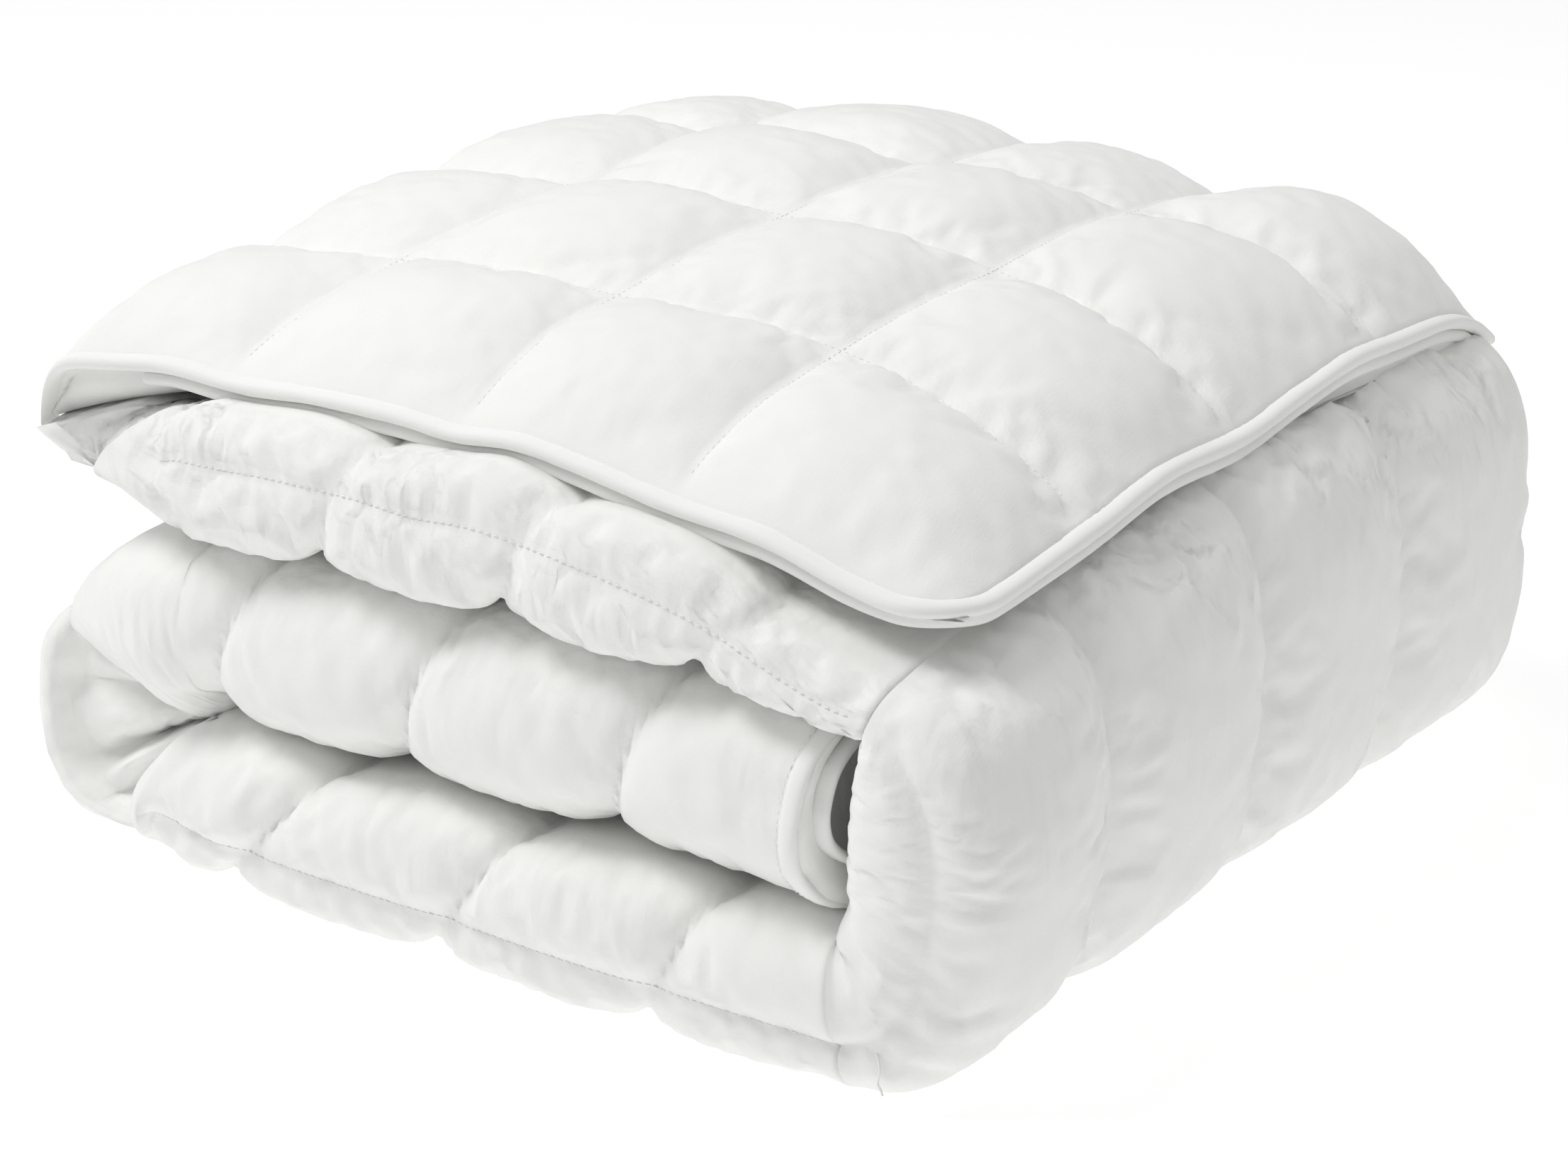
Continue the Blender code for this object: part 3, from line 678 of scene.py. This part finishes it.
def let_go(jobs, frames=18):
    """Simulates the covers as cloth blown up by their filling, held at the seams; jobs are (object, held, settings)."""
    sc = bpy.context.scene
    sc.frame_start, sc.frame_end = 1, frames
    start = {}
    for o, held, opt in jobs:
        g = o.vertex_groups.new(name="held")
        for i, w in enumerate(held):
            if w > 0.001:
                g.add([i], float(w), "REPLACE")
        n = len(o.data.vertices)
        co = np.empty(n * 3)
        o.data.vertices.foreach_get("co", co)
        start[o.name] = co.reshape(-1, 3).copy()
        m = o.modifiers.new("cloth", "CLOTH")
        c = m.settings
        c.quality = opt.get("quality", 6)
        c.mass = 0.20
        c.air_damping = 1.0
        c.tension_stiffness = c.compression_stiffness = opt.get("stiff", 16)
        c.shear_stiffness = opt.get("shear", 6)
        c.bending_stiffness = opt.get("bend", 0.12)
        c.tension_damping = c.compression_damping = c.shear_damping = 5
        c.bending_damping = 0.5
        c.vertex_group_mass = "held"
        c.pin_stiffness = 1.0
        c.use_pressure = True
        c.uniform_pressure_force = opt.get("pressure", 4.0)
        c.shrink_min = opt.get("grow", -0.055)
        c.effector_weights.gravity = 0.0
        m.collision_settings.use_collision = False
        m.collision_settings.use_self_collision = False
        m.point_cache.frame_start, m.point_cache.frame_end = 1, frames
    for f in range(1, frames + 1):
        sc.frame_set(f)
    dg = bpy.context.evaluated_depsgraph_get()
    for o, held, opt in jobs:
        ev = o.evaluated_get(dg)
        n = len(o.data.vertices)
        co = np.empty(n * 3)
        ev.data.vertices.foreach_get("co", co)
        co = co.reshape(-1, 3)
        a = start[o.name]
        move = co - a
        rings, around = opt["grid"]
        g = move[:rings * around].reshape(rings, around, 3)
        low = g.copy()
        for _ in range(4):
            for w in (1, 2):
                low = (np.roll(low, w, 1) + low * 2 + np.roll(low, -w, 1)) / 4
                pad = np.concatenate([low[:1]] * w + [low] + [low[-1:]] * w)
                low = (pad[:-2 * w] + low * 2 + pad[2 * w:]) / 4
        high = g - low
        L = np.linalg.norm(low, axis=-1, keepdims=True)
        cap = opt.get("cap", 0.007)
        low = low * cap * np.tanh(L / cap) / np.maximum(L, 1e-9)
        H = np.linalg.norm(high, axis=-1, keepdims=True)
        top = 0.006
        high = high * opt.get("gain", 1.25)
        high = high * top * np.tanh(H / top) / np.maximum(H, 1e-9)
        o.modifiers.clear()
        out = a.copy()
        out[:rings * around] += (low + high).reshape(-1, 3)
        o.data.vertices.foreach_set("co", out.ravel())
        o.data.update()
    sc.frame_set(1)


def coords(o):
    co = np.empty(len(o.data.vertices) * 3)
    o.data.vertices.foreach_get("co", co)
    return co.reshape(-1, 3)


flap, FLAP, flap_held = build_flap()
flap.data.materials.append(SHELL)

P, STS, META, D_COL, D_ROW = build_strip()
parts = [s["part"] for s in STS]
k1 = max(k for k, p in enumerate(parts) if p == "bottom")
k2 = max(k for k, p in enumerate(parts) if p == "wall")
KIND = np.array([m[0] for m in META])
VAL = np.array([m[1] for m in META], float)


def strip_held():
    """How firmly each point of the strip is held: seams, hidden faces and the floor side."""
    H = np.maximum(hold(D_COL), np.where((KIND == 2) | (KIND == 0), hold(near(P[..., 1], STRIP_ROWS)), 0))
    for k, s in enumerate(STS):
        rowed = s["part"] in ("bottom", "wall", "second")
        if rowed:
            H[k] = np.maximum(H[k], np.where(KIND == 1, hold(D_ROW[k]), 0))
        H[k] = np.where(KIND == 0, 1.0, H[k])
        if s["part"] in ("inner", "bottom", "second"):
            H[k] = np.where(KIND == 2, 1.0, H[k])
        ends = np.where(KIND == 1, np.maximum(1 - smooth(0.04, 0.12, VAL), 0 if s["part"] in ("wall", "low", "up") else smooth(0.90, 0.97, VAL)), 0)
        H[k] = np.maximum(H[k], ends)
        web = 1 - s["c"]
        H[k] = np.where(KIND == 1, np.maximum(H[k], 0.15 * web), H[k])
    return H


HELD = strip_held()
noise = [Noise(s) for s in range(8)]
ii = np.arange(P.shape[0])[:, None] * 0.37
jj = np.arange(P.shape[1])[None, :] * 0.37
shake = np.stack([n(ii, jj) for n in noise[:3]], axis=-1) * 0.0007
P = P + shake * (1 - HELD[..., None])
K, M = P.shape[:2]


def shell(name, a, b, start, end):
    o = grid_mesh(name, P[a:b], cap_start=start, cap_end=end)
    h = list(HELD[a:b].ravel()) + [1.0] * (len(o.data.vertices) - (b - a) * M)
    facing(o)
    return o, np.array(h)


MOUTH = []
for size, dx in ((0.62, -0.006), (0.74, -0.010), (0.84, -0.006), (0.90, -0.001), (0.955, 0.0018)):
    mid = P[0].mean(axis=0)
    MOUTH.append(mid + (P[0] - mid) * np.array([1, 0.5 + 0.5 * size, size]) + np.array([dx, 0.0, 0.0]))
P = np.concatenate([np.array(MOUTH), P])
HELD = np.concatenate([np.ones((len(MOUTH), M)), HELD])
D_ROW = np.concatenate([np.ones((len(MOUTH), M)), D_ROW])
k1, k2, K = k1 + len(MOUTH), k2 + len(MOUTH), K + len(MOUTH)
base, base_held = shell("base_quilt", 0, k1 + 1, True, True)
wall, wall_held = shell("side_wall_quilt", k1, k2 + 1, False, False)
second, second_held = shell("second_panel_quilt", k2, K, True, True)
for o in (base, wall, second):
    o.data.materials.append(GATHERED)
wall_held[:M] = 1.0
wall_held[(k2 - k1) * M:(k2 - k1 + 1) * M] = 1.0
second_held[:M] = 1.0

import time
t0 = time.time()
X0, Y0 = FLAP[0], FLAP[1]
fg = np.full(FLAP[-1], 0.3)
fg[:X0.shape[0], :X0.shape[1]] = 0.16 + 0.62 * np.exp(-(near(Y0, FLAP_ROWS) / 0.030) ** 2) * (0.55 + 0.45 * smooth(-0.1, 0.15, X0))
sg = np.full((K, M), 0.75)
for k in range(K):
    part = "inner" if k < len(MOUTH) else parts[k - len(MOUTH)]
    sg[k] = {"inner": 0.55, "low": 0.60, "bottom": 0.65, "wall": 0.80, "second": 0.95, "up": 0.7}[part]
sg = sg[..., None]
let_go([(flap, flap_held, {"pressure": 1.5, "grow": -0.05, "bend": 0.06, "cap": 0.0065, "gain": fg[..., None], "grid": FLAP[-1]}),
        (base, base_held, {"pressure": 2.8, "grow": -0.05, "grid": (k1 + 1, M), "gain": sg[:k1 + 1], "cap": 0.0055}),
        (wall, wall_held, {"pressure": 2.5, "grow": -0.05, "grid": (k2 + 1 - k1, M), "gain": sg[k1:k2 + 1]}),
        (second, second_held, {"pressure": 2.8, "grow": -0.055, "grid": (K - k2, M), "gain": sg[k2:], "cap": 0.006})])
print("cloth took", round(time.time() - t0, 1), "s", [len(o.data.vertices) for o in (flap, base, wall, second)])

# the base runs into the wall without a step
bc, wc = coords(base), coords(wall)
bg, wg = bc[:(k1 + 1) * M].reshape(k1 + 1, M, 3), wc[:(k2 + 1 - k1) * M].reshape(k2 + 1 - k1, M, 3)
both = np.concatenate([bg[-6:], wg[1:6]])
n = len(both)
for _ in range(7):
    sm = both.copy()
    sm[1:-1] = (both[:-2] + 2 * both[1:-1] + both[2:]) / 4
    both = sm
w = 0.85 * np.sin(math.pi * np.arange(n) / (n - 1))[:, None, None]
src = np.concatenate([bg[-6:], wg[1:6]])
both = src * (1 - w) + both * w
bg[-6:] = both[:6]
wg[0] = both[5]
wg[1:6] = both[6:]
base.data.vertices.foreach_set("co", bc.ravel())
wall.data.vertices.foreach_set("co", wc.ravel())

# nothing sinks into the floor or rises into the flap
for o in (base, wall, second):
    c = coords(o)
    c[:, 2] = np.maximum(c[:, 2], 0.0006)
    if o is second:
        c[:, 2] = np.where((c[:, 1] > FY) & (c[:, 0] < RX), np.minimum(c[:, 2], split_level(c[:, 0], c[:, 1]) - 0.0008), c[:, 2])
    o.data.vertices.foreach_set("co", c.ravel())
    o.data.update()


def sweep(name, line, side, up, wide, tall, ring=14, taper=(True, True), ripple=0.0, seed=1):
    """A tape round an oval section, along a line; side and up give the section's axes at each point."""
    n = len(line)
    t = np.linspace(0, 2 * math.pi, ring, endpoint=False)
    run = np.concatenate([[0], np.cumsum(np.linalg.norm(np.diff(line, axis=0), axis=1))])
    nz = Noise(seed)
    P = np.empty((n, ring, 3))
    for i in range(n):
        w, h = wide / 2, tall / 2
        end = min(run[i] if taper[0] else 1.0, run[-1] - run[i] if taper[1] else 1.0)
        k = math.sqrt(max(1 - (1 - min(end / 0.006, 1)) ** 2, 0.0)) * 0.98 + 0.02
        r = 1 + ripple * float(nz(run[i] / 0.011, 0.3)) + 0.6 * ripple * float(nz(run[i] / 0.028, 5.3))
        c, sn = np.sign(np.cos(t)) * np.abs(np.cos(t)) ** 0.85, np.sign(np.sin(t)) * np.abs(np.sin(t)) ** 0.85
        P[i] = line[i] + side[i] * (c * w * k)[:, None] + up[i] * (sn * h * k * r)[:, None]
    o = grid_mesh(name, P)
    facing(o)
    o.data.materials.append(TAPE)
    return o


def relax_line(p, times=3):
    for _ in range(times):
        p[1:-1] = (p[:-2] + 2 * p[1:-1] + p[2:]) / 4
    return p


def stitches(name, lines, length=0.0026, gap=0.0016, thick=0.0007, lift=0.0003):
    """Rows of short raised stitches along lines of points."""
    V, F = [], []
    for line in lines:
        line = np.asarray(line, float)
        run = np.concatenate([[0], np.cumsum(np.linalg.norm(np.diff(line, axis=0), axis=1))])
        at = 0.002
        while at + length < run[-1] - 0.002:
            a = np.array([np.interp(at, run, line[:, i]) for i in range(3)])
            b = np.array([np.interp(at + length, run, line[:, i]) for i in range(3)])
            d = (b - a) / (np.linalg.norm(b - a) + 1e-12)
            q = np.cross(d, [0.3, -0.5, 0.8]); q /= np.linalg.norm(q)
            w = np.cross(d, q)
            base_i = len(V)
            rings = ((0.0, 0.35, -0.0003), (0.22, 1.0, lift), (0.78, 1.0, lift), (1.0, 0.35, -0.0003))
            for f, k, up_ in rings:
                c = a + (b - a) * f - w * up_ * (1 if w[2] < 0 else -1)
                for ang in range(6):
                    th = ang * math.pi / 3
                    V.append(tuple(c + (q * math.cos(th) + w * math.sin(th)) * thick * 0.5 * k))
            for r in range(3):
                for i in range(6):
                    j = (i + 1) % 6
                    F.append((base_i + r * 6 + i, base_i + r * 6 + j, base_i + (r + 1) * 6 + j, base_i + (r + 1) * 6 + i))
            F.append(tuple(base_i + i for i in range(5, -1, -1)))
            F.append(tuple(base_i + 18 + i for i in range(6)))
            at += length + gap
    me = bpy.data.meshes.new(name)
    me.from_pydata(V, [], F)
    me.update()
    o = bpy.data.objects.new(name, me)
    bpy.context.scene.collection.objects.link(o)
    o.data.shade_smooth()
    o.data.materials.append(THREAD)
    return o


THREAD = cotton("thread_cotton", (0.88, 0.875, 0.86), 0.3)
X0, Y0, FX, FYY, FZ, FTOP, FSHAPE = FLAP
fc = coords(flap)[:FSHAPE[0] * FSHAPE[1]].reshape(FSHAPE[0], FSHAPE[1], 3)
nx, ny = X0.shape
front_line = fc[0:nx, ny - 1].copy()
right_line = fc[nx - 1, :ny - 1][::-1].copy()
edge_line = np.concatenate([front_line, right_line])
edge_line = relax_line(edge_line, 6)
tang = np.gradient(edge_line, axis=0)
tang[:, 2] = 0
tang /= np.linalg.norm(tang, axis=1, keepdims=True)
outdir = np.stack([tang[:, 1], -tang[:, 0], np.zeros(len(tang))], axis=1)
updir = np.tile([0.0, 0.0, 1.0], (len(tang), 1))
right_part = smooth(-0.245, -0.205, edge_line[:, 1]) * (edge_line[:, 0] > 0.2)
top_edge = edge_line + outdir * 0.0005 + updir * -0.0030
top_tape = sweep("flap_edge_tape", top_edge, outdir, updir, 0.0128, 0.0084, taper=(False, True), ripple=0.06, seed=21)
low_drop = 0.0082 - 0.0030 * np.exp(-((edge_line[:, 0] - RX) ** 2 + (edge_line[:, 1] - FY) ** 2) / 0.05 ** 2)
low_edge = edge_line - outdir * (0.0026 + 0.0 * right_part)[:, None] + updir * (-0.0030 - low_drop)[:, None]
keep = edge_line[:, 0] > -0.232
low_tape = sweep("flap_lower_edge_tape", low_edge[keep], outdir[keep], updir[keep], 0.0125, 0.0078, ripple=0.07, seed=22)
inner_stitch = edge_line - outdir * 0.0068 + updir * 0.0016
flap_stitch = stitches("flap_edge_stitching", [inner_stitch[right_part > 0.02], inner_stitch[(right_part <= 0.02) & (edge_line[:, 0] > -0.15)] + np.array([0, 0, 0.0004])])

quilt_lines = []
for i in range(nx):
    if min(abs(X0[i, 0] - c) for c in FLAP_COLS) < 1e-6:
        quilt_lines.append(fc[i, 4:ny - 3])
for j in range(ny):
    if min(abs(Y0[0, j] - c) for c in FLAP_ROWS) < 1e-6:
        quilt_lines.append(fc[8:nx - 3, j])
quilting = stitches("flap_quilting_thread_seen", quilt_lines, length=0.0030, gap=0.0014, thick=0.0006, lift=0.0002)

base_c = coords(base)[:(k1 + 1) * M].reshape(k1 + 1, M, 3)
second_c = coords(second)[:(K - k2) * M].reshape(K - k2, M, 3)
front_idx = [m for m in range(M) if KIND[m] == 1]
row_m = front_idx[int(round(0.625 * 24))]
off = len(MOUTH)
low_rows = [base_c[k, row_m] + np.array([0, -0.0003, 0]) for k in range(off, k1 - 1) if parts[k - off] == "bottom"]
high_rows = [second_c[k, row_m] + np.array([0, -0.0003, 0]) for k in range(2, K - k2) if parts[k2 + k - off] == "second"]
base_stitch = stitches("bottom_front_stitching", [low_rows], length=0.0030, gap=0.0016, thick=0.0008)
second_stitch = stitches("second_front_stitching", [high_rows], length=0.0030, gap=0.0016, thick=0.0008)

# the same bound edge carries on round the lower half of the upper left fold
up_ks = [k for k in range(K - k2) if parts[k2 + k - off] == "up" and STS[k2 + k - off]["share"] > 0.20]
rim = relax_line(np.array([second_c[k, front_idx[1]] for k in up_ks]), 4)
hub = np.array([-0.200, 0.0, 0.250])
rad = rim - hub
rad[:, 1] = 0
rad /= np.linalg.norm(rad, axis=1, keepdims=True)
fwd = np.tile([0.0, -1.0, 0.0], (len(rim), 1))
rim_tape = sweep("upper_fold_edge_tape", rim - rad * 0.0022 + fwd * 0.0010, rad, fwd, 0.0100, 0.0100, taper=(True, False), ripple=0.05, seed=23)

# bound edges at the free end of the inner panel
end_ring = base_c[off + 1, [m for m in front_idx[1:-1]]].copy()
end_ring = relax_line(end_ring, 2)
tg = np.gradient(end_ring, axis=0); tg /= np.linalg.norm(tg, axis=1, keepdims=True)
sx = np.tile([1.0, 0.0, 0.0], (len(tg), 1))
up2 = np.cross(tg, sx); up2 /= np.linalg.norm(up2, axis=1, keepdims=True)
up2 *= np.sign(up2[len(up2) // 2] @ np.array([0, -1, 0]))
end_tape = sweep("inner_end_tape", end_ring + up2 * 0.0006 + np.array([-0.0010, 0, 0]), sx, up2, 0.0100, 0.0056, ripple=0.06, seed=31)
mid = end_ring.mean(axis=0)
small = mid + (end_ring - mid) * np.array([0.8, 0.90, 0.74]) + np.array([0.0045, 0.014, 0.006])
end_tape2 = sweep("inner_end_second_tape", small, sx, up2, 0.0110, 0.0060, ripple=0.08, seed=32)
end_stitch = stitches("inner_end_stitching", [end_ring + up2 * 0.0026 + np.array([-0.0062, 0, 0])], thick=0.0007)

# a loose end of thread at the lower front corner
pt = np.array([(0.2520, -0.3080, 0.0330), (0.2560, -0.3128, 0.0300), (0.2585, -0.3145, 0.0240), (0.2578, -0.3150, 0.0180), (0.2596, -0.3152, 0.0150), (0.2604, -0.3150, 0.0125)])
tt = np.linspace(0, 1, 24)
st_ = np.linspace(0, 1, len(pt))
tail_line = np.stack([curve(list(zip(st_, pt[:, i])), tt) for i in range(3)], axis=1)
tgt = np.gradient(tail_line, axis=0); tgt /= np.linalg.norm(tgt, axis=1, keepdims=True)
sd = np.cross(tgt, [0.0, 1.0, 0.0]); sd /= np.linalg.norm(sd, axis=1, keepdims=True)
tail = sweep("thread_tail", tail_line, sd, np.cross(sd, tgt), 0.0011, 0.0011, ring=8, taper=(False, False))
tail.data.materials.clear(); tail.data.materials.append(THREAD)

nodes = list(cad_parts)
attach(flap, "flap"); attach(base, "base_half"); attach(second, "upper_half")
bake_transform(wall)
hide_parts(*[n for n in nodes if n.startswith("flap_") or n.startswith("upper_fold_upper")])
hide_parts(*[n for n in nodes if n.startswith("second_panel") or n.startswith("upper_fold_lower")])
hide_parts(*[n for n in nodes if n.startswith("side_fold")])
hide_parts(*[n for n in nodes if n.startswith(("bottom_panel", "inner_", "lower_fold"))])
for o in (top_tape, low_tape, flap_stitch, quilting):
    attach(o, "flap")
for o in (base_stitch, end_tape, end_tape2, end_stitch, tail):
    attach(o, "base_half")
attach(second_stitch, "upper_half")
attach(rim_tape, "upper_half")


# ---------------------------------------------------------------- stage
def stage():
    me = bpy.data.meshes.new("floor")
    s = 6.0
    me.from_pydata([(-s, -s, 0), (s, -s, 0), (s, s, 0), (-s, s, 0)], [], [(0, 1, 2, 3)])
    o = bpy.data.objects.new("floor", me)
    bpy.context.scene.collection.objects.link(o)
    m = bpy.data.materials.new("floor_white")
    m.use_nodes = True
    b = m.node_tree.nodes["Principled BSDF"]
    b.inputs["Base Color"].default_value = (0.42, 0.42, 0.42, 1)
    b.inputs["Roughness"].default_value = 0.9
    b.inputs["Emission Color"].default_value = (1.0, 1.0, 1.0, 1)
    b.inputs["Emission Strength"].default_value = 0.72
    me.materials.append(m)
    w = bpy.data.worlds.new("studio")
    w.use_nodes = True
    w.node_tree.nodes["Background"].inputs[0].default_value = (1.0, 1.0, 1.0, 1)
    w.node_tree.nodes["Background"].inputs[1].default_value = 0.375
    bpy.context.scene.world = w
    def area(name, loc, target, size, power):
        L = bpy.data.lights.new(name, "AREA")
        L.size = size
        L.energy = power
        ob = bpy.data.objects.new(name, L)
        bpy.context.scene.collection.objects.link(ob)
        ob.location = loc
        d = Vector(target) - Vector(loc)
        ob.rotation_euler = d.to_track_quat("-Z", "Y").to_euler()
        return ob
    area("key", (-1.35, -1.15, 3.0), (0, 0, 0.15), 1.4, 61)
    area("top", (0.5, 0.7, 3.0), (0, 0, 0.15), 1.8, 15)
    cam = bpy.data.cameras.new("camera")
    cam.lens = 72
    cam.sensor_width = 36
    co = bpy.data.objects.new("camera", cam)
    bpy.context.scene.collection.objects.link(co)
    co.location = (0.9646 + SHIFT, -1.3517, 0.7058)
    d = Vector((0.08 + SHIFT, -0.107, 0.15)) - co.location
    co.rotation_euler = d.to_track_quat("-Z", "Y").to_euler()
    bpy.context.scene.camera = co
    bpy.context.scene.view_settings.view_transform = "Standard"


stage()
